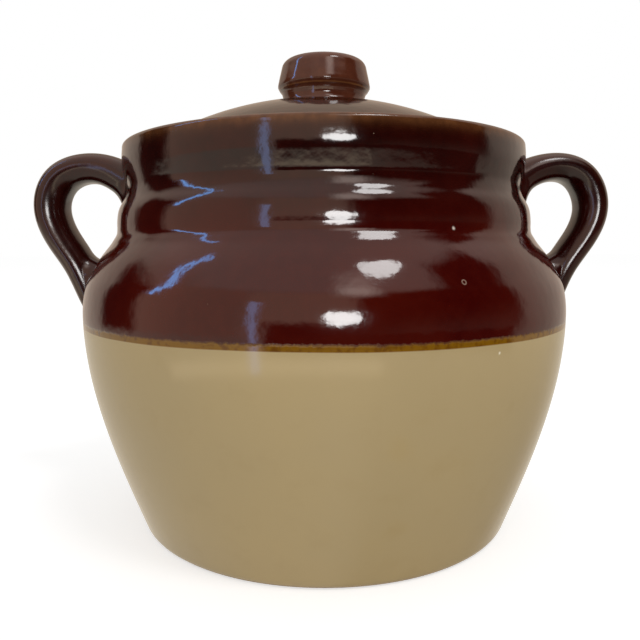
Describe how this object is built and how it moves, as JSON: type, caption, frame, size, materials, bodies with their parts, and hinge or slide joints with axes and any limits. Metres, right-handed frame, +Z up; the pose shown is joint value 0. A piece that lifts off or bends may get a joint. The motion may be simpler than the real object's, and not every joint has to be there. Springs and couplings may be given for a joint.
{
  "type": "bean pot",
  "caption": "Round-bellied stoneware pot, brown glaze over tan, with loop handles and a loose domed lid with a knob, for baking and serving beans.",
  "frame": {"origin": "centre of the round foot, on the surface that the pot stands on", "axes": "+Z up along the pot's turning axis, handles along X, the pictured side faces -Y"},
  "size_m": [0.2469, 0.2008, 0.1945],
  "materials": {
    "pot_glaze": "glossy red-brown glaze above an ochre line, satin tan glaze below, bare stoneware foot and lid seat",
    "handle_glaze": "glossy red-brown glaze that thins to amber on the edges",
    "lid_glaze": "glossy red-brown glaze, bare stoneware where the lid rests",
    "knob_glaze": "glossy red-brown glaze that thins to amber on the lower edge"
  },
  "bodies": {
    "pot": {"pot_body": "pot_glaze", "left_handle": "handle_glaze", "right_handle": "handle_glaze"},
    "lid": {"lid": "lid_glaze", "lid_knob": "knob_glaze"}
  },
  "joints": [
    {"name": "lid_lift", "type": "slide", "parent": "pot", "child": "lid", "axis": [0, 0, 1], "range_m": [0, 0.12]}
  ]
}
